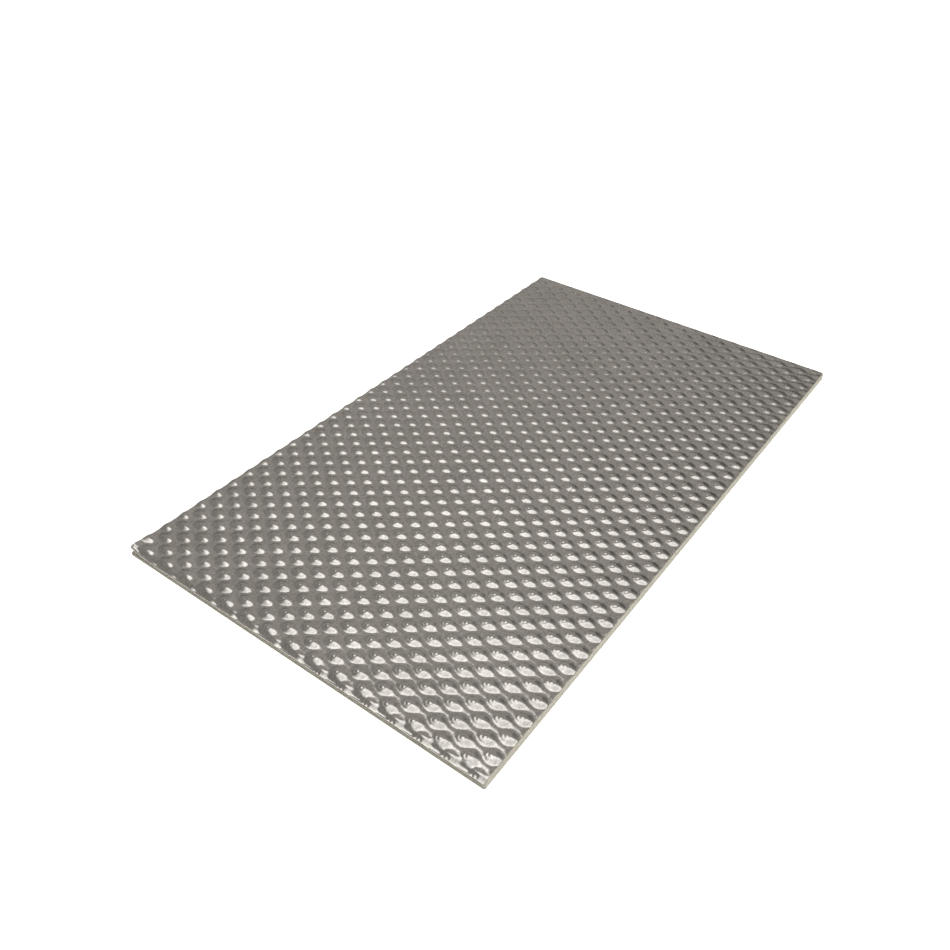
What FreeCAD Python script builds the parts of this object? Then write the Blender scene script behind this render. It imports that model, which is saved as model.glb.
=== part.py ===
import FreeCAD, Part
import os
from math import ceil, cos, floor, radians, sin, sqrt

# Driving dimensions in millimetres.
# The panel lies flat: X runs across its short side, Y along its long side, Z up from the surface below it.
panel_width = 177.8
panel_length = 304.8
corner_blunting = 0.5        # how far each corner is cut back along both of its edges
pad_thickness = 3.2
foil_thickness = 0.25
emboss_height = 0.85         # dome tops above the valleys that part them
dome_pitch = 9.187           # from dome to dome along a row, in Y
row_spacing = 5.774          # from row to row, in X
lattice_turn = 0.43          # degrees that the rows are turned anticlockwise from the panel's long edges
first_row_inset = 0.92       # from the left-hand long edge to the first row of domes
first_dome_inset = -0.7      # from the front short edge to the first dome of that row, cut off by that edge
corner_lift = 1.6            # how far the face has come up off the pad at its front left corner
corner_lift_reach = 11.0     # how far in from that corner, along the diagonal, it has come up
dented_dome_row = 21         # the one damaged dome: its row, counted from the left-hand edge
dented_dome_place = 15       # and its place in that row, counted from the front edge
dent_depth = 0.3

# Places worked out from the sizes above.
left_edge = -panel_width / 2
front_edge = -panel_length / 2
half_pitch = dome_pitch / 2
turn_cosine = cos(radians(lattice_turn))
turn_sine = sin(radians(lattice_turn))
coordinate_step = 1e-6       # points closer than this are one point


def panel_outline():
    """Corner points of the panel in plan, anticlockwise: a rectangle with blunted corners."""
    right_edge = left_edge + panel_width
    back_edge = front_edge + panel_length
    cut = corner_blunting
    return [
        (left_edge + cut, front_edge),
        (right_edge - cut, front_edge),
        (right_edge, front_edge + cut),
        (right_edge, back_edge - cut),
        (right_edge - cut, back_edge),
        (left_edge + cut, back_edge),
        (left_edge, back_edge - cut),
        (left_edge, front_edge + cut),
    ]


def insulation_pad():
    """The pale layer, cut to the panel's outline."""
    corners = [FreeCAD.Vector(x, y, 0) for x, y in panel_outline()]
    wire = Part.makePolygon(corners + corners[:1])
    return Part.Face(wire).extrude(FreeCAD.Vector(0, 0, pad_thickness))


def lattice_place(x, y):
    """Row and step, as fractions, of the embossing grid at a point of the panel in plan."""
    across = (x - left_edge) * turn_cosine + (y - front_edge) * turn_sine
    along = (y - front_edge) * turn_cosine - (x - left_edge) * turn_sine
    return ((across - first_row_inset) / row_spacing, (along - first_dome_inset) / half_pitch)


def lattice_point(row, step):
    """A point of the embossing grid: domes and valley bottoms alternate along rows and across them."""
    across = first_row_inset + row * row_spacing
    along = first_dome_inset + step * half_pitch
    x = left_edge + across * turn_cosine - along * turn_sine
    y = front_edge + across * turn_sine + along * turn_cosine
    is_dome = (row + step) % 2 == 0
    height = emboss_height if is_dome else 0.0
    if is_dome and row == dented_dome_row and step // 2 == dented_dome_place:
        height -= dent_depth
    return (x, y, height)


def dome_facets():
    """Sloping triangles of the embossing in plan and height: four meet at each dome's top."""
    rows, steps = zip(*(lattice_place(x, y) for x, y in panel_outline()))
    for row in range(floor(min(rows)), ceil(max(rows))):
        for step in range(floor(min(steps)), ceil(max(steps))):
            near = lattice_point(row, step)
            across = lattice_point(row + 1, step)
            along = lattice_point(row, step + 1)
            far = lattice_point(row + 1, step + 1)
            if (row + step) % 2 == 0:
                yield [near, across, along]
                yield [far, along, across]
            else:
                yield [across, far, near]
                yield [along, near, far]


def trim_to_line(polygon, start, end):
    """The part of a convex polygon that lies to the left of the line from start to end."""
    def side(point):
        return (end[0] - start[0]) * (point[1] - start[1]) - (end[1] - start[1]) * (point[0] - start[0])

    kept = []
    for here, after in zip(polygon, polygon[1:] + polygon[:1]):
        side_here, side_after = side(here), side(after)
        if side_here >= 0:
            kept.append(here)
        if side_here * side_after < 0:
            share = side_here / (side_here - side_after)
            kept.append(tuple(a + share * (b - a) for a, b in zip(here, after)))
    return kept


def trimmed_facets():
    """The embossing's facets, cut straight through along the panel's outline."""
    outline = panel_outline()
    for facet in dome_facets():
        for start, end in zip(outline, outline[1:] + outline[:1]):
            facet = trim_to_line(facet, start, end)
        if len(facet) > 2:
            yield facet


def curl(x, y):
    """How far the face has come up off the pad at a point near its front left corner."""
    inward = ((x - left_edge) + (y - front_edge)) / sqrt(2)
    return corner_lift * max(0.0, 1 - inward / corner_lift_reach) ** 2


class SheetMesh:
    """Points and triangles of the embossed sheet, top and underside, joined along the cut edge."""

    def __init__(self):
        self.index = {}
        self.points = []
        self.triangles = []

    def point(self, x, y, height, above):
        """Number of the point at that height over the pad, on the underside or one thickness above it."""
        z = pad_thickness + height + curl(x, y) + above
        key = tuple(round(value / coordinate_step) for value in (x, y, z))
        if key not in self.index:
            self.index[key] = len(self.points)
            self.points.append(FreeCAD.Vector(x, y, z))
        return self.index[key]

    def add(self, ring):
        """Add a flat ring of point numbers as a fan of triangles, leaving out any that has no area."""
        for second, third in zip(ring[1:-1], ring[2:]):
            if len({ring[0], second, third}) == 3:
                self.triangles.append((ring[0], second, third))


def embossed_face():
    """The aluminium sheet: every dome is hollow behind, and its valleys rest on the pad."""
    mesh = SheetMesh()
    border = {}
    for facet in trimmed_facets():
        top = [mesh.point(*corner, foil_thickness) for corner in facet]
        under = [mesh.point(*corner, 0.0) for corner in facet]
        mesh.add(top)
        mesh.add(under[::-1])
        corners = list(zip(top, under))
        for here, after in zip(corners, corners[1:] + corners[:1]):
            if (after, here) in border:
                del border[(after, here)]
            elif here != after:
                border[(here, after)] = True
    for (top_here, under_here), (top_after, under_after) in border:
        mesh.add([top_here, under_here, under_after, top_after])
    shell = Part.Shape()
    shell.makeShapeFromMesh((mesh.points, mesh.triangles), coordinate_step)
    return Part.Solid(Part.Shell(shell.Faces))


os.makedirs("parts", exist_ok=True)
insulation_pad().exportStep("parts/insulation_pad.step")
embossed_face().exportStep("parts/embossed_face.step")
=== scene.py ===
import logging
from dataclasses import dataclass, field
from enum import Enum
from functools import cached_property
from math import cos, exp, hypot, pi, radians, sin, sqrt

import bmesh
import bpy
from mathutils import Matrix, Vector, noise


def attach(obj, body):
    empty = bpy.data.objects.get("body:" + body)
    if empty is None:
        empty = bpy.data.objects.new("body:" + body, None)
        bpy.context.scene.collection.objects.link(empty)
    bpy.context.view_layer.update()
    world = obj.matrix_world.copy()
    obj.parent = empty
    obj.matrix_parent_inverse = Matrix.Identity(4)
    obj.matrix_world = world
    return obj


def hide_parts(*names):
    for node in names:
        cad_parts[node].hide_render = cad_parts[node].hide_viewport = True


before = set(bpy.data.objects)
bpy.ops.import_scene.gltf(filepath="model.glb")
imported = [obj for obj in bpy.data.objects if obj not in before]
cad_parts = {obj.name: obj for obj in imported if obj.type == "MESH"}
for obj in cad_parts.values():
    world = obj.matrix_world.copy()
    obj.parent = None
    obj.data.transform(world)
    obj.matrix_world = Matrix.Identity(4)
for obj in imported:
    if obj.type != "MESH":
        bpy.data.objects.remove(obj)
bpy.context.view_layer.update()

MM = 0.001
PANEL_WIDTH = 177.8 * MM
PANEL_LENGTH = 304.8 * MM
PAD_THICKNESS = 3.2 * MM
log = logging.getLogger("heat_shield")

Colour = tuple[float, float, float]
Point = tuple[float, float, float]
Pair = tuple[float, float]
Socket = bpy.types.NodeSocket
Mesh = bmesh.types.BMesh


class Corner(Enum):
    """The four corners of the panel in plan, as the signs of their X and Y."""

    FRONT_LEFT = (-1, -1)
    FRONT_RIGHT = (1, -1)
    BACK_RIGHT = (1, 1)
    BACK_LEFT = (-1, 1)


class NodeSheet:
    """A node tree with short ways to add and join nodes."""

    MIX_SHARE, MIX_FIRST, MIX_SECOND, MIX_RESULT = 0, 6, 7, 2

    def __init__(self, tree: bpy.types.NodeTree) -> None:
        """Take over a tree and empty it.

        Args:
            tree: The tree of a material, a world or a node group.
        """
        self.tree = tree
        tree.nodes.clear()

    @classmethod
    def of_material(cls, name: str) -> tuple[bpy.types.Material, "NodeSheet"]:
        """Start a material.

        Args:
            name: The material's name.

        Returns:
            The material and the sheet of its nodes.
        """
        material = bpy.data.materials.new(name)
        material.use_nodes = True
        return material, cls(material.node_tree)

    def add(self, kind: str, **settings: object) -> bpy.types.Node:
        """Add a node.

        Args:
            kind: The node's type name, without its ShaderNode prefix.
            settings: Properties of the node, or values of its inputs by their names in lower case.

        Returns:
            The new node.
        """
        prefix = "" if kind.startswith("NodeGroup") else "ShaderNode"
        node = self.tree.nodes.new(prefix + kind)
        for name, value in settings.items():
            if hasattr(node, name):
                setattr(node, name, value)
            else:
                node.inputs[name.replace("_", " ").title()].default_value = value
        return node

    def join(self, source: Socket, target: Socket) -> None:
        """Link an output to an input."""
        self.tree.links.new(source, target)

    def show(self, shader: Socket, output: str = "OutputMaterial") -> None:
        """Send a shader to the tree's own output."""
        self.join(shader, self.add(output).inputs["Surface"])

    def math(self, operation: str, first: float | Socket, second: float | Socket = 0.0) -> Socket:
        """Add a Math node.

        Args:
            operation: The node's operation.
            first: A number, or the output that feeds the first input.
            second: The same for the second input.

        Returns:
            The node's output.
        """
        node = self.add("Math", operation=operation)
        for socket, value in zip(node.inputs, (first, second)):
            if isinstance(value, Socket):
                self.join(value, socket)
            else:
                socket.default_value = value
        return node.outputs[0]

    def ramp(self, value: Socket, span: Pair, levels: Pair) -> Socket:
        """Ease from one level to another.

        Args:
            value: What the level follows.
            span: The values at which the change starts and ends.
            levels: The level before it and after it.

        Returns:
            The eased level.
        """
        node = self.add("MapRange", interpolation_type="SMOOTHSTEP", from_min=span[0], from_max=span[1],
                        to_min=levels[0], to_max=levels[1])
        self.join(value, node.inputs["Value"])
        return node.outputs["Result"]

    def stretched(self, place: Socket, scale: Point) -> Socket:
        """Stretch a pattern along the axes.

        Args:
            place: Where on the piece the pattern lies.
            scale: Repeats per metre along X, Y and Z.

        Returns:
            The stretched place.
        """
        node = self.add("Mapping")
        node.inputs["Scale"].default_value = scale
        self.join(place, node.inputs["Vector"])
        return node.outputs["Vector"]

    def gridded(self, place: Socket, origin: Pair, turn: float, steps: Pair) -> bpy.types.Node:
        """Measure a place in the steps of a turned grid.

        Args:
            place: The place.
            origin: Where the grid starts, in plan.
            turn: How far the grid is turned, in radians.
            steps: Its steps across and along.

        Returns:
            The node whose X and Y outputs count the steps.
        """
        node = self.add("Mapping", vector_type="TEXTURE")
        node.inputs["Location"].default_value = (*origin, 0.0)
        node.inputs["Rotation"].default_value = (0.0, 0.0, turn)
        node.inputs["Scale"].default_value = (*steps, 1.0)
        self.join(place, node.inputs["Vector"])
        split = self.add("SeparateXYZ")
        self.join(node.outputs["Vector"], split.inputs["Vector"])
        return split

    def facing(self, direction: Socket, way: Point) -> Socket:
        """Work out how far a direction points one way.

        Args:
            direction: The direction.
            way: The way that it is measured along.

        Returns:
            Their dot product.
        """
        node = self.add("VectorMath", operation="DOT_PRODUCT")
        self.join(direction, node.inputs[0])
        node.inputs[1].default_value = way
        return node.outputs["Value"]

    def blend(self, share: Socket, first: Colour, second: Colour) -> Socket:
        """Mix two colours.

        Args:
            share: How much there is of the second colour.
            first: The colour at a share of 0.
            second: The colour at a share of 1.

        Returns:
            The mixed colour.
        """
        node = self.add("Mix", data_type="RGBA")
        node.inputs[self.MIX_FIRST].default_value = (*first, 1.0)
        node.inputs[self.MIX_SECOND].default_value = (*second, 1.0)
        self.join(share, node.inputs[self.MIX_SHARE])
        return node.outputs[self.MIX_RESULT]

    def bump(self, height: Socket, depth: float, strength: float = 1.0,
             under: Socket | None = None) -> Socket:
        """Add a layer of bumps.

        Args:
            height: The layer's height, from 0 to 1.
            depth: What a height of 1 stands for, in metres, below zero for dents.
            strength: How much of the layer shows.
            under: The normal of the layer under it, if there is one.

        Returns:
            The bumped normal.
        """
        node = self.add("Bump", strength=strength, distance=abs(depth), invert=depth < 0)
        self.join(height, node.inputs["Height"])
        if under:
            self.join(under, node.inputs["Normal"])
        return node.outputs["Normal"]

    def both(self, first: Socket, second: Socket) -> Socket:
        """Add two shaders.

        Args:
            first: One shader.
            second: The other one.

        Returns:
            Their sum.
        """
        node = self.add("AddShader")
        for source, target in zip((first, second), node.inputs):
            self.join(source, target)
        return node.outputs["Shader"]


class SoftMottle:
    """A node group of soft patches, shared by the metal and the fibre."""

    NAME = "soft mottle"
    DETAIL = 4.0
    ROUGHNESS = 0.6
    LEAST_NOISE, MOST_NOISE = 0.3, 0.7

    @classmethod
    def tree(cls) -> bpy.types.NodeTree:
        """Build the group once.

        Returns:
            The group's tree: Vector, Scale, Low and High in, Value out.
        """
        if cls.NAME in bpy.data.node_groups:
            return bpy.data.node_groups[cls.NAME]
        tree = bpy.data.node_groups.new(cls.NAME, "ShaderNodeTree")
        for name, kind in (("Vector", "NodeSocketVector"), ("Scale", "NodeSocketFloat"),
                           ("Low", "NodeSocketFloat"), ("High", "NodeSocketFloat")):
            tree.interface.new_socket(name=name, in_out="INPUT", socket_type=kind)
        tree.interface.new_socket(name="Value", in_out="OUTPUT", socket_type="NodeSocketFloat")
        sheet = NodeSheet(tree)
        entry, leave = sheet.add("NodeGroupInput"), sheet.add("NodeGroupOutput")
        patches = sheet.add("TexNoise", detail=cls.DETAIL, roughness=cls.ROUGHNESS)
        spread = sheet.add("MapRange", from_min=cls.LEAST_NOISE, from_max=cls.MOST_NOISE)
        for name in ("Vector", "Scale"):
            sheet.join(entry.outputs[name], patches.inputs[name])
        sheet.join(patches.outputs["Fac"], spread.inputs["Value"])
        sheet.join(entry.outputs["Low"], spread.inputs["To Min"])
        sheet.join(entry.outputs["High"], spread.inputs["To Max"])
        sheet.join(spread.outputs["Result"], leave.inputs["Value"])
        return tree

    @classmethod
    def place(cls, sheet: NodeSheet, vector: Socket, scale: float, low: float, high: float) -> Socket:
        """Put the group into a material.

        Args:
            sheet: The material's node sheet.
            vector: Where on the piece the patches lie.
            scale: Patches per metre.
            low: The value between patches.
            high: The value on them.

        Returns:
            The group's Value output.
        """
        node = sheet.add("Group", node_tree=cls.tree())
        sheet.join(vector, node.inputs["Vector"])
        for name, value in (("Scale", scale), ("Low", low), ("High", high)):
            node.inputs[name].default_value = value
        return node.outputs["Value"]


@dataclass(frozen=True)
class PinMarks:
    """A node group of the small round marks that the embossing pins leave near the domes' tops."""

    first: Pair
    row_spacing: float
    pitch: float
    turn: float
    ring: float = 0.8 * MM
    radius: float = 1.7 * MM

    def tree(self) -> bpy.types.NodeTree:
        """Build the group.

        Returns:
            The group's tree: Vector in, Mark out, which is 1 on a mark's ring, 0 in its middle and beyond it.
        """
        tree = bpy.data.node_groups.new("pin marks", "ShaderNodeTree")
        tree.interface.new_socket(name="Vector", in_out="INPUT", socket_type="NodeSocketVector")
        tree.interface.new_socket(name="Mark", in_out="OUTPUT", socket_type="NodeSocketFloat")
        sheet = NodeSheet(tree)
        entry, leave = sheet.add("NodeGroupInput"), sheet.add("NodeGroupOutput")
        count = sheet.gridded(entry.outputs["Vector"], self.first, self.turn, (self.row_spacing, self.pitch))
        row = sheet.math("ROUND", count.outputs["X"])
        stagger = sheet.math("MULTIPLY", sheet.math("FLOORED_MODULO", row, 2.0), 0.5)
        place = sheet.math("SUBTRACT", count.outputs["Y"], stagger)
        across = sheet.math("SUBTRACT", count.outputs["X"], row)
        across = sheet.math("MULTIPLY", across, self.row_spacing)
        along = sheet.math("SUBTRACT", place, sheet.math("ROUND", place))
        along = sheet.math("MULTIPLY", along, self.pitch)
        squares = sheet.math("ADD", sheet.math("POWER", across, 2.0), sheet.math("POWER", along, 2.0))
        apart = sheet.math("SQRT", squares)
        mark = sheet.math("MULTIPLY", sheet.ramp(apart, (0.0, self.ring), (0.0, 1.0)),
                          sheet.ramp(apart, (self.ring, self.radius), (1.0, 0.0)))
        sheet.join(mark, leave.inputs["Mark"])
        return tree


@dataclass(frozen=True)
class RolledAluminium:
    """Bright rolled foil: a near mirror with fine rolling lines, faint clouding and pin marks."""

    marks: PinMarks
    mark_depth: float = 0.07 * MM
    dull_tone: Colour = (0.55, 0.525, 0.49)
    bright_tone: Colour = (1.0, 0.965, 0.91)
    cloud_scale: float = 55.0
    cloud_share: float = 0.25
    streak_scale: Point = (1500.0, 750.0, 750.0)
    smear_scale: float = 121.0
    least_roughness: float = 0.06
    most_roughness: float = 0.13
    crumple_scale: float = 700.0
    crumple_height: float = 0.017 * MM
    grain_scale: float = 2600.0
    grain_height: float = 0.005 * MM

    def material(self) -> bpy.types.Material:
        """Make the metal.

        Returns:
            The material, on the piece's Object coordinates.
        """
        material, sheet = NodeSheet.of_material("bright rolled aluminium")
        place = sheet.add("TexCoord").outputs["Object"]
        metal = sheet.add("BsdfPrincipled", metallic=1.0)
        sheet.show(metal.outputs["BSDF"])
        lines = sheet.stretched(place, self.streak_scale)
        streaks = SoftMottle.place(sheet, lines, 1.0, 0.0, 1.0 - self.cloud_share)
        clouds = SoftMottle.place(sheet, place, self.cloud_scale, 0.0, self.cloud_share)
        tone = sheet.blend(sheet.math("ADD", streaks, clouds), self.dull_tone, self.bright_tone)
        sheet.join(tone, metal.inputs["Base Color"])
        rough = SoftMottle.place(sheet, place, self.smear_scale, self.most_roughness, self.least_roughness)
        sheet.join(rough, metal.inputs["Roughness"])
        crumple = SoftMottle.place(sheet, place, self.crumple_scale, 0.0, 1.0)
        normal = sheet.bump(crumple, self.crumple_height)
        grain = SoftMottle.place(sheet, place, self.grain_scale, 0.0, 1.0)
        normal = sheet.bump(grain, self.grain_height, under=normal)
        pins = sheet.add("Group", node_tree=self.marks.tree())
        sheet.join(place, pins.inputs["Vector"])
        normal = sheet.bump(pins.outputs["Mark"], -self.mark_depth, under=normal)
        sheet.join(normal, metal.inputs["Normal"])
        return material


@dataclass(frozen=True)
class PressedFibre:
    """Pale pressed fibre: matt, with thin plies lying flat and a fine nap."""

    shade_tone: Colour = (0.50, 0.475, 0.395)
    light_tone: Colour = (0.72, 0.69, 0.595)
    roughness: float = 0.92
    gloss: float = 0.2
    ply_stretch: Point = (160.0, 160.0, 1900.0)
    ply_share: float = 0.6
    nap_scale: float = 1800.0
    nap_share: float = 0.4
    nap_height: float = 0.15 * MM
    nap_strength: float = 0.5

    def material(self) -> bpy.types.Material:
        """Make the fibre.

        Returns:
            The material, on the piece's Object coordinates.
        """
        material, sheet = NodeSheet.of_material("pale pressed fibre")
        place = sheet.add("TexCoord").outputs["Object"]
        fibre = sheet.add("BsdfPrincipled", roughness=self.roughness)
        fibre.inputs["Specular IOR Level"].default_value = self.gloss
        sheet.show(fibre.outputs["BSDF"])
        plies = SoftMottle.place(sheet, sheet.stretched(place, self.ply_stretch), 1.0, 0.0, 1.0)
        nap = SoftMottle.place(sheet, place, self.nap_scale, 0.0, 1.0)
        weave = sheet.math("ADD", sheet.math("MULTIPLY", plies, self.ply_share),
                           sheet.math("MULTIPLY", nap, self.nap_share))
        sheet.join(sheet.blend(weave, self.shade_tone, self.light_tone), fibre.inputs["Base Color"])
        sheet.join(sheet.bump(weave, self.nap_height, self.nap_strength), fibre.inputs["Normal"])
        return material


@dataclass(frozen=True)
class TableWhite:
    """Matt white table top that shows white where it is lit and keeps the panel's shadow."""

    tone: Colour = (0.95, 0.95, 0.93)
    lift: float = 0.9

    def material(self) -> bpy.types.Material:
        """Make the table's white.

        Returns:
            The material, with light added for what is seen straight on, mirrored or through glass.
        """
        material, sheet = NodeSheet.of_material("table white")
        matt, glow = sheet.add("BsdfDiffuse"), sheet.add("Emission")
        for shader in (matt, glow):
            shader.inputs["Color"].default_value = (*self.tone, 1.0)
        path = sheet.add("LightPath")
        seen = sheet.math("ADD", path.outputs["Is Camera Ray"], path.outputs["Is Glossy Ray"])
        seen = sheet.math("ADD", seen, path.outputs["Is Transmission Ray"])
        sheet.join(sheet.math("MULTIPLY", seen, self.lift), glow.inputs["Strength"])
        sheet.show(sheet.both(matt.outputs["BSDF"], glow.outputs["Emission"]))
        return material


@dataclass(frozen=True)
class PanelPlan:
    """The panel's outline: a rectangle with blunted corners, centred on the origin."""

    width: float = PANEL_WIDTH
    length: float = PANEL_LENGTH
    corner_blunting: float = 0.5 * MM
    plane_tolerance: float = 1e-7

    def sheet(self, columns: int, rows: int) -> Mesh:
        """Lay out a flat grid in the outline.

        Args:
            columns: Squares across the short side.
            rows: Squares along the long side.

        Returns:
            The grid, at height zero, with its corners cut off.
        """
        mesh = bmesh.new()
        bmesh.ops.create_grid(mesh, x_segments=columns, y_segments=rows, size=0.5)
        bmesh.ops.scale(mesh, vec=(self.width, self.length, 1.0), verts=mesh.verts)
        for corner in Corner:
            sign_x, sign_y = corner.value
            x, y = sign_x * (self.width / 2 - self.corner_blunting), sign_y * self.length / 2
            self.trim(mesh, (x, y, 0.0), (sign_x, sign_y, 0.0))
        return mesh

    def trim(self, mesh: Mesh, place: Point, outwards: Point) -> None:
        """Cut off what lies beyond an upright plane.

        Args:
            mesh: The grid.
            place: A point of the plane.
            outwards: The plane's normal, which points to what is cut off.
        """
        everything = mesh.verts[:] + mesh.edges[:] + mesh.faces[:]
        bmesh.ops.bisect_plane(mesh, geom=everything, dist=self.plane_tolerance, plane_co=Vector(place),
                               plane_no=Vector(outwards), clear_outer=True)


@dataclass(frozen=True)
class DomeLattice:
    """The embossing: staggered rows of rounded domes, turned a little from the panel's edges.

    Its form is one wave across the rows times one along them. Weaker overtones, given as shares of that
    main wave, broaden the domes and leave narrow winding valleys between them.
    """

    corner: Pair = (-PANEL_WIDTH / 2, -PANEL_LENGTH / 2)
    pitch: float = 9.187 * MM
    row_spacing: float = 5.774 * MM
    turn: float = radians(0.43)
    first_row: float = 0.92 * MM
    first_dome: float = -0.7 * MM
    height: float = 0.8 * MM
    across_twice: float = 0.17
    along_twice: float = 0.34
    both_twice: float = -0.086
    across_thrice: float = -0.096
    along_thrice: float = -0.078
    along_four_times: float = 0.021
    across_five_times: float = 0.028
    span_steps: int = 40

    def wave(self, across: float, along: float) -> float:
        """The embossing's form before it is scaled.

        Args:
            across: Phase across the rows, in radians.
            along: Phase along a row, in radians.

        Returns:
            The form's height, highest on a dome.
        """
        return (cos(across) * cos(along) + self.across_twice * cos(2 * across)
                + self.along_twice * cos(2 * along) + self.both_twice * cos(2 * across) * cos(2 * along)
                + self.across_thrice * cos(3 * across) * cos(along)
                + self.along_thrice * cos(across) * cos(3 * along)
                + self.along_four_times * cos(2 * across) * cos(4 * along)
                + self.across_five_times * cos(5 * across) * cos(along))

    @cached_property
    def span(self) -> Pair:
        """The form's range.

        Returns:
            Its lowest and highest values, over one repeat.
        """
        steps = [pi * step / self.span_steps for step in range(self.span_steps + 1)]
        values = [self.wave(across, along) for across in steps for along in steps]
        return min(values), max(values)

    def rise(self, x: float, y: float) -> float:
        """Height of the embossing at a place on the panel.

        Args:
            x: The place across the panel.
            y: The place along it.

        Returns:
            The height over the valley bottoms.
        """
        left, front = x - self.corner[0], y - self.corner[1]
        across = left * cos(self.turn) + front * sin(self.turn) - self.first_row
        along = front * cos(self.turn) - left * sin(self.turn) - self.first_dome
        lowest, highest = self.span
        form = self.wave(pi * across / self.row_spacing, 2 * pi * along / self.pitch)
        return self.height * (form - lowest) / (highest - lowest)

    def dome_at(self, row: int, place: int) -> Pair:
        """Find a dome.

        Args:
            row: Its row, from the left.
            place: Its place in the row, from the front.

        Returns:
            The dome's centre in plan.
        """
        across = self.first_row + row * self.row_spacing
        along = self.first_dome + (place + 0.5 * (row % 2)) * self.pitch
        return (self.corner[0] + across * cos(self.turn) - along * sin(self.turn),
                self.corner[1] + across * sin(self.turn) + along * cos(self.turn))


@dataclass(frozen=True)
class Nick:
    """A short groove that something sharp has pressed into the flank of one dome."""

    row: int = 21
    place: int = 15
    right_of_top: float = 1.2 * MM
    ahead_of_top: float = 1.5 * MM
    depth: float = 0.16 * MM
    half_width: float = 0.4 * MM
    half_length: float = 1.7 * MM
    fine_reach: float = 3.5 * MM
    fine_cuts: int = 2

    def centre(self, domes: DomeLattice) -> Pair:
        """The groove's middle in plan."""
        x, y = domes.dome_at(self.row, self.place)
        return x + self.right_of_top, y - self.ahead_of_top

    def cut(self, x: float, y: float, domes: DomeLattice) -> float:
        """Depth of the groove at a place on the panel.

        Args:
            x: The place across the panel.
            y: The place along it.
            domes: The embossing.

        Returns:
            How far the dome's flank is pressed in.
        """
        middle_x, middle_y = self.centre(domes)
        if abs(x - middle_x) > self.fine_reach or abs(y - middle_y) > self.fine_reach:
            return 0.0
        across, along = (x - middle_x) / self.half_width, (y - middle_y) / self.half_length
        return self.depth * exp(-across * across - along * along)


@dataclass(frozen=True)
class CutEdges:
    """What the blade did at the panel's edges: it flattened the cut domes and pressed the front down.

    Each side's crush is how far the domes are flattened at the edge and how far in that reaches.
    """

    left_crush: Pair = (0.35, 2.2 * MM)
    right_crush: Pair = (0.3, 2.2 * MM)
    front_crush: Pair = (0.6, 2.2 * MM)
    back_crush: Pair = (0.9, 3.5 * MM)
    crush_level: float = 0.45
    press_depth: float = 1.0 * MM
    press_reach: float = 2.5 * MM
    press_flat: float = 0.5 * MM
    tip_press: float = 1.0 * MM
    tip_reach: float = 22.0 * MM

    def crush(self, x: float, y: float, plan: PanelPlan) -> float:
        """How far the relief is flattened at a place on the panel.

        Args:
            x: The place across the panel.
            y: The place along it.
            plan: The panel's outline.

        Returns:
            The share of the relief that is lost, from 0 to 1.
        """
        kept = 1.0
        for inside, (strength, reach) in (
                (plan.width / 2 + x, self.left_crush), (plan.width / 2 - x, self.right_crush),
                (plan.length / 2 + y, self.front_crush), (plan.length / 2 - y, self.back_crush)):
            kept *= 1 - strength * max(0.0, 1 - inside / reach) ** 2
        return 1 - kept

    def press(self, y: float, plan: PanelPlan) -> float:
        """How far the panel is pressed down.

        Args:
            y: The place along the panel.
            plan: The panel's outline.

        Returns:
            The depth, eased in from the front edge.
        """
        inside = y + plan.length / 2
        share = min(1.0, max(0.0, (self.press_reach - inside) / (self.press_reach - self.press_flat)))
        return self.press_depth * share * share * (3 - 2 * share)

    def pad_press(self, x: float, y: float, plan: PanelPlan) -> float:
        """How far the pad is pressed down, which is more under the lifted corner of the face."""
        from_corner = hypot(x + plan.width / 2, y + plan.length / 2)
        return self.press(y, plan) + self.tip_press * max(0.0, 1 - from_corner / self.tip_reach) ** 2


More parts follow.
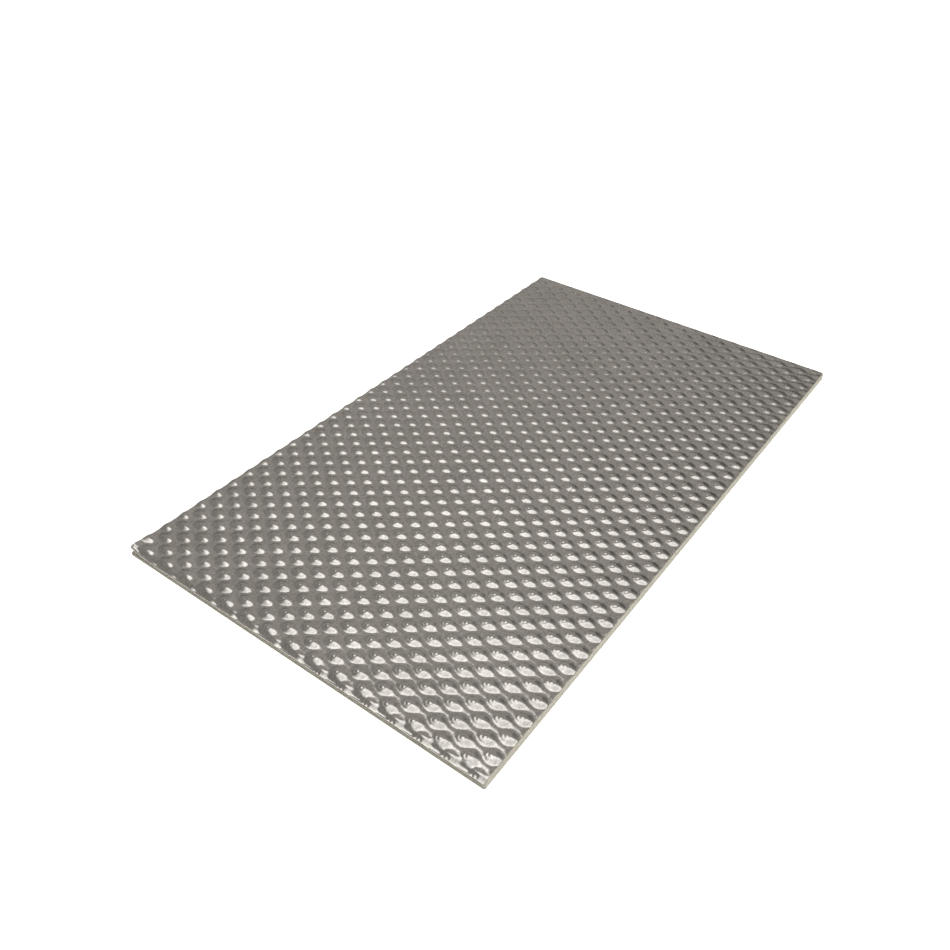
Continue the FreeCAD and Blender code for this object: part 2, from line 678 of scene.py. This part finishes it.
@dataclass
class EmbossedFace:
    """The aluminium face: a thin embossed sheet, lifted at one corner, with one damaged dome."""

    plan: PanelPlan = field(default_factory=lambda: PanelPlan(corner_blunting=0.8 * MM))
    domes: DomeLattice = field(default_factory=DomeLattice)
    nick: Nick = field(default_factory=Nick)
    edges: CutEdges = field(default_factory=CutEdges)
    mark_offset: Pair = (-0.85 * MM, -0.33 * MM)
    columns: int = 236
    rows: int = 404
    bed: float = PAD_THICKNESS
    thickness: float = 0.25 * MM
    corner_lift: float = 1.7 * MM
    corner_lift_reach: float = 11.0 * MM
    unevenness: float = 0.04 * MM
    uneven_scale: float = 60.0
    right_trim: float = 0.5 * MM
    return_width: float = 0.9 * MM
    slope_step: float = 0.02 * MM
    crease: float = radians(50.0)

    def curl(self, x: float, y: float) -> float:
        """How far the face has come up off the pad near its front left corner."""
        inward = (x + self.plan.width / 2 + y + self.plan.length / 2) / sqrt(2)
        return self.corner_lift * max(0.0, 1 - inward / self.corner_lift_reach) ** 2

    def top(self, x: float, y: float) -> float:
        """Height of the sheet's upper surface.

        Args:
            x: The place across the panel.
            y: The place along it.

        Returns:
            The height over the table.
        """
        spot = Vector((x * self.uneven_scale, y * self.uneven_scale, 0.0))
        drift = self.unevenness * noise.noise(spot)
        rise = self.domes.rise(x, y) * (1 + drift / self.domes.height)
        rise = max(0.0, rise - self.nick.cut(x, y, self.domes))
        flattened = self.edges.crush_level * self.domes.height
        rise += (flattened - rise) * self.edges.crush(x, y, self.plan)
        return self.bed + self.thickness + rise + self.curl(x, y) - self.edges.press(y, self.plan)

    def normal(self, x: float, y: float) -> Vector:
        """The upper surface's true normal.

        Args:
            x: The place across the panel.
            y: The place along it.

        Returns:
            The normal, one long.
        """
        step = self.slope_step
        slope_x = (self.top(x + step, y) - self.top(x - step, y)) / (2 * step)
        slope_y = (self.top(x, y + step) - self.top(x, y - step)) / (2 * step)
        return Vector((-slope_x, -slope_y, 1.0)).normalized()

    def fine_patch(self, mesh: Mesh) -> None:
        """Divide the grid round the damaged dome, so that its groove is crisp.

        Args:
            mesh: The flat grid.
        """
        middle_x, middle_y = self.nick.centre(self.domes)
        near = [edge for edge in mesh.edges if all(
            hypot(vert.co.x - middle_x, vert.co.y - middle_y) < self.nick.fine_reach for vert in edge.verts)]
        bmesh.ops.subdivide_edges(mesh, edges=near, cuts=self.nick.fine_cuts, use_grid_fill=True)

    def add_rim(self, mesh: Mesh) -> None:
        """Give the sheet its thickness along the cut edge, with a strip of underside behind it.

        Args:
            mesh: The upper surface, which gains the strip. Its vertices are marked as rim.
        """
        rim_layer = mesh.verts.layers.int.new("rim")
        border = [edge for edge in mesh.edges if edge.is_boundary]
        copied = bmesh.ops.duplicate(mesh, geom=border)["geom"]
        for vert in (item for item in copied if isinstance(item, bmesh.types.BMVert)):
            vert[rim_layer] = 1
        edges = [item for item in copied if isinstance(item, bmesh.types.BMEdge)]
        for inset in (0.0, self.return_width):
            grown = bmesh.ops.extrude_edge_only(mesh, edges=edges)["geom"]
            fresh = {item for item in grown if isinstance(item, bmesh.types.BMVert)}
            for vert in fresh:
                vert.co.x *= 1 - 2 * inset / self.plan.width
                vert.co.y *= 1 - 2 * inset / self.plan.length
                vert.co.z = self.top(vert.co.x, vert.co.y) - self.thickness
                vert[rim_layer] = 1
            edges = [item for item in grown
                     if isinstance(item, bmesh.types.BMEdge) and fresh.issuperset(item.verts)]

    def metal(self) -> RolledAluminium:
        """The sheet's metal, with its pin marks set out from the first dome."""
        first = tuple(centre + aside for centre, aside in zip(self.domes.dome_at(0, 0), self.mark_offset))
        return RolledAluminium(PinMarks(first, self.domes.row_spacing, self.domes.pitch, self.domes.turn))

    def build(self) -> bpy.types.Object:
        """Model the sheet.

        Returns:
            The piece, with the true normals of its domes and a crisp cut edge.
        """
        mesh = self.plan.sheet(self.columns, self.rows)
        self.plan.trim(mesh, (self.plan.width / 2 - self.right_trim, 0.0, 0.0), (1.0, 0.0, 0.0))
        self.fine_patch(mesh)
        for vert in mesh.verts:
            vert.co.z = self.top(vert.co.x, vert.co.y)
        self.add_rim(mesh)
        piece = finished("embossed_face_skin", mesh, self.crease, self.metal().material())
        rim = piece.data.attributes["rim"].data
        keep_own = Vector((0.0, 0.0, 0.0))
        normals = [keep_own if rim[vert.index].value else self.normal(vert.co.x, vert.co.y)
                   for vert in piece.data.vertices]
        piece.data.normals_split_custom_set_from_vertices(normals)
        return piece


@dataclass
class InsulationPad:
    """The pale fibre layer under the face, with slightly soft edges."""

    plan: PanelPlan = field(default_factory=PanelPlan)
    finish: PressedFibre = field(default_factory=PressedFibre)
    edges: CutEdges = field(default_factory=CutEdges)
    columns: int = 60
    rows: int = 300
    thickness: float = PAD_THICKNESS
    edge_softness: float = 0.18 * MM
    edge_segments: int = 3
    edge_angle: float = radians(45.0)
    crease: float = radians(60.0)

    def build(self) -> bpy.types.Object:
        """Model the layer.

        Returns:
            The piece, flat above and below, with rounded rims that stay inside the outline.
        """
        mesh = self.plan.sheet(self.columns, self.rows)
        skin = bmesh.ops.extrude_face_region(mesh, geom=mesh.faces[:], use_keep_orig=True)
        lifted = [item for item in skin["geom"] if isinstance(item, bmesh.types.BMVert)]
        for vert in lifted:
            vert.co.z = self.thickness - self.edges.pad_press(vert.co.x, vert.co.y, self.plan)
        bmesh.ops.recalc_face_normals(mesh, faces=mesh.faces)
        rims = [edge for edge in mesh.edges if edge.calc_face_angle(0.0) > self.edge_angle]
        bmesh.ops.bevel(mesh, geom=rims, offset=self.edge_softness, affect="EDGES",
                        segments=self.edge_segments, profile=0.5, material=-1, clamp_overlap=True)
        for vert in mesh.verts:
            vert.co.x = min(self.plan.width / 2, max(-self.plan.width / 2, vert.co.x))
            vert.co.y = min(self.plan.length / 2, max(-self.plan.length / 2, vert.co.y))
        return finished("insulation_pad_fibre", mesh, self.crease, self.finish.material())


def finished(name: str, mesh: Mesh, crease: float, material: bpy.types.Material) -> bpy.types.Object:
    """Turn a bmesh into a piece of the scene.

    Args:
        name: The piece's name.
        mesh: The shape, which is freed.
        crease: Edges sharper than this stay crisp, in radians.
        material: What it is made of.

    Returns:
        The new object, at the origin.
    """
    data = bpy.data.meshes.new(name)
    mesh.to_mesh(data)
    mesh.free()
    data.shade_smooth()
    data.set_sharp_from_angle(angle=crease)
    data.materials.append(material)
    piece = bpy.data.objects.new(name, data)
    bpy.context.scene.collection.objects.link(piece)
    return piece


@dataclass(frozen=True)
class FillLamp:
    """A soft square lamp, aimed at the panel, that lights matt surfaces and isn't mirrored in metal."""

    name: str
    direction: Point
    distance: float
    size: float
    radiance: float

    def build(self) -> bpy.types.Object:
        """Hang the lamp.

        Returns:
            The lamp's object.
        """
        data = bpy.data.lights.new(self.name, "AREA")
        data.size = self.size
        data.energy = self.radiance * pi * self.size * self.size
        lamp = bpy.data.objects.new(self.name, data)
        bpy.context.scene.collection.objects.link(lamp)
        towards = Vector(self.direction).normalized()
        aim = towards.to_track_quat("Z", "Y").to_matrix().to_4x4()
        lamp.matrix_world = Matrix.Translation(towards * self.distance) @ aim
        lamp.visible_camera = False
        lamp.visible_glossy = False
        return lamp


@dataclass(frozen=True)
class SoftBox:
    """A wide soft box over the panel, brightest towards one corner and fading out along its sides."""

    centre: Pair = (0.495, -0.023)
    height: float = 0.804
    half_width: float = 0.595
    half_depth: float = 0.786
    turn: float = radians(122.0)
    softness: float = 0.14
    level: float = 0.60
    gain_across: float = 0.9
    gain_along: float = 0.45
    room_share: float = 0.22
    reach: float = 2.0

    def material(self) -> bpy.types.Material:
        """Make the glow, which lets the room show where it fades out.

        Returns:
            The material, on the box's Object coordinates.
        """
        material, sheet = NodeSheet.of_material("soft box glow")
        place = sheet.add("TexCoord").outputs["Object"]
        half_sizes = (self.half_width, self.half_depth)
        aside = sheet.gridded(place, self.centre, self.turn, half_sizes)
        strength = 1.0
        for axis, gain in (("X", self.gain_across), ("Y", self.gain_along)):
            strength = sheet.math("ADD", sheet.math("MULTIPLY", aside.outputs[axis], gain), strength)
        strength = sheet.math("SUBTRACT", sheet.math("MULTIPLY", strength, self.level), self.room_share)
        strength = sheet.math("MAXIMUM", strength, 0.0)
        for axis, half_size in zip("XY", half_sizes):
            fade = self.softness / half_size
            inside = sheet.ramp(sheet.math("ABSOLUTE", aside.outputs[axis]), (1 + fade, 1 - fade), (0.0, 1.0))
            strength = sheet.math("MULTIPLY", strength, inside)
        glow = sheet.add("Emission")
        sheet.join(strength, glow.inputs["Strength"])
        clear = sheet.add("BsdfTransparent")
        sheet.show(sheet.both(glow.outputs["Emission"], clear.outputs["BSDF"]))
        return material

    def build(self) -> bpy.types.Object:
        """Hang the box.

        Returns:
            The box's object, which the camera doesn't see.
        """
        mesh = bmesh.new()
        bmesh.ops.create_grid(mesh, x_segments=1, y_segments=1, size=self.reach)
        bmesh.ops.translate(mesh, vec=(*self.centre, self.height), verts=mesh.verts)
        box = finished("soft box", mesh, pi, self.material())
        box.visible_camera = False
        box.visible_shadow = False
        return box


@dataclass(frozen=True)
class DarkSide:
    """A darker side of the room, to one side of an upright plane through the panel."""

    normal: Pair
    edge: Pair
    heights: Pair
    low_share: float
    high_share: float

    def shade(self, sheet: NodeSheet, direction: Socket, up: Socket) -> Socket:
        """Work out how much of the room's level is left.

        Args:
            sheet: The world's node sheet.
            direction: Where a ray looks.
            up: How far up it looks.

        Returns:
            The share that is left, 1 outside the dark side.
        """
        dark = sheet.ramp(up, self.heights, (1 - self.low_share, 1 - self.high_share))
        beyond = sheet.ramp(sheet.facing(direction, (*self.normal, 0.0)), self.edge, (0.0, 1.0))
        return sheet.math("SUBTRACT", 1.0, sheet.math("MULTIPLY", dark, beyond))


@dataclass
class Studio:
    """Table, room and soft lights."""

    table_reach: float = 12.0
    table_finish: TableWhite = field(default_factory=TableWhite)
    room_tint: Colour = (1.04, 1.0, 0.955)
    room_level: float = 0.3
    lit_wall: Point = (-0.42, 0.62, 0.66)
    lit_wall_edge: Pair = (0.75, 1.0)
    unlit_share: float = 0.76
    low_heights: Pair = (0.0, 0.35)
    low_share: float = 0.66
    dark_sides: tuple[DarkSide, ...] = (
        DarkSide(normal=(0.974, 0.225), edge=(-0.14, 0.02), heights=(0.25, 0.75),
                 low_share=0.46, high_share=0.95),
        DarkSide(normal=(-0.707, -0.707), edge=(-0.1, 0.25), heights=(0.15, 0.6),
                 low_share=0.74, high_share=0.95),
    )
    box: SoftBox = field(default_factory=SoftBox)
    lamps: tuple[FillLamp, ...] = (
        FillLamp("right fill", direction=(0.85, 0.02, 0.52), distance=1.5, size=0.9, radiance=3.6),
        FillLamp("top fill", direction=(0.0, 0.1, 1.0), distance=1.8, size=1.6, radiance=0.9),
    )

    def build(self) -> None:
        """Lay the table, tone the room and hang the lights."""
        mesh = bmesh.new()
        bmesh.ops.create_grid(mesh, x_segments=1, y_segments=1, size=self.table_reach)
        finished("table", mesh, pi, self.table_finish.material())
        self.box.build()
        self.tone_room()
        for lamp in self.lamps:
            lamp.build()
            log.info("lamp %s", lamp.name)

    def tone_room(self) -> None:
        """Give the room a soft grey, lightest on one wall and darker low down and on two sides."""
        world = bpy.data.worlds.new("studio room")
        bpy.context.scene.world = world
        world.use_nodes = True
        sheet = NodeSheet(world.node_tree)
        direction = sheet.add("TexCoord").outputs["Generated"]
        split = sheet.add("SeparateXYZ")
        sheet.join(direction, split.inputs["Vector"])
        up = split.outputs["Z"]
        level = sheet.ramp(sheet.facing(direction, self.lit_wall), self.lit_wall_edge,
                           (self.room_level * self.unlit_share, self.room_level))
        level = sheet.math("MULTIPLY", level, sheet.ramp(up, self.low_heights, (self.low_share, 1.0)))
        for side in self.dark_sides:
            level = sheet.math("MULTIPLY", level, side.shade(sheet, direction, up))
        backdrop = sheet.add("Background")
        backdrop.inputs["Color"].default_value = (*self.room_tint, 1.0)
        sheet.join(level, backdrop.inputs["Strength"])
        sheet.show(backdrop.outputs["Background"], "OutputWorld")


@dataclass(frozen=True)
class PhotoCamera:
    """The camera, at the photograph's viewing angle."""

    place: Point = (0.18035, -0.28948, 0.26234)
    aim: Point = (-0.00885, -0.02517, 0.0)
    roll: float = radians(1.328)
    lens: float = 34.728
    sensor: float = 36.0
    nearest: float = 0.01

    def build(self) -> bpy.types.Object:
        """Stand the camera and make it the scene's.

        Returns:
            The camera's object.
        """
        data = bpy.data.cameras.new("camera")
        data.lens, data.sensor_width, data.clip_start = self.lens, self.sensor, self.nearest
        camera = bpy.data.objects.new("camera", data)
        bpy.context.scene.collection.objects.link(camera)
        place = Vector(self.place)
        look = (Vector(self.aim) - place).to_track_quat("-Z", "Y").to_matrix().to_4x4()
        camera.matrix_world = Matrix.Translation(place) @ look @ Matrix.Rotation(self.roll, 4, "Z")
        bpy.context.scene.camera = camera
        return camera


def dress(piece: bpy.types.Object, node: str) -> None:
    """Let a piece stand for its CAD node: hang it under the root and hide the node.

    Args:
        piece: The new piece.
        node: The CAD node that it replaces.
    """
    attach(piece, "root")
    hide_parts(node)
    triangles = sum(len(face.vertices) - 2 for face in piece.data.polygons)
    log.info("%s stands for %s: %d triangles", piece.name, node, triangles)


def main() -> None:
    """Build the face, the pad, the studio and the camera."""
    logging.basicConfig(level=logging.INFO, format="%(name)s: %(message)s")
    bpy.context.scene.view_settings.view_transform = "Standard"
    dress(EmbossedFace().build(), "embossed_face")
    dress(InsulationPad().build(), "insulation_pad")
    Studio().build()
    PhotoCamera().build()


if __name__ == "__main__":
    main()
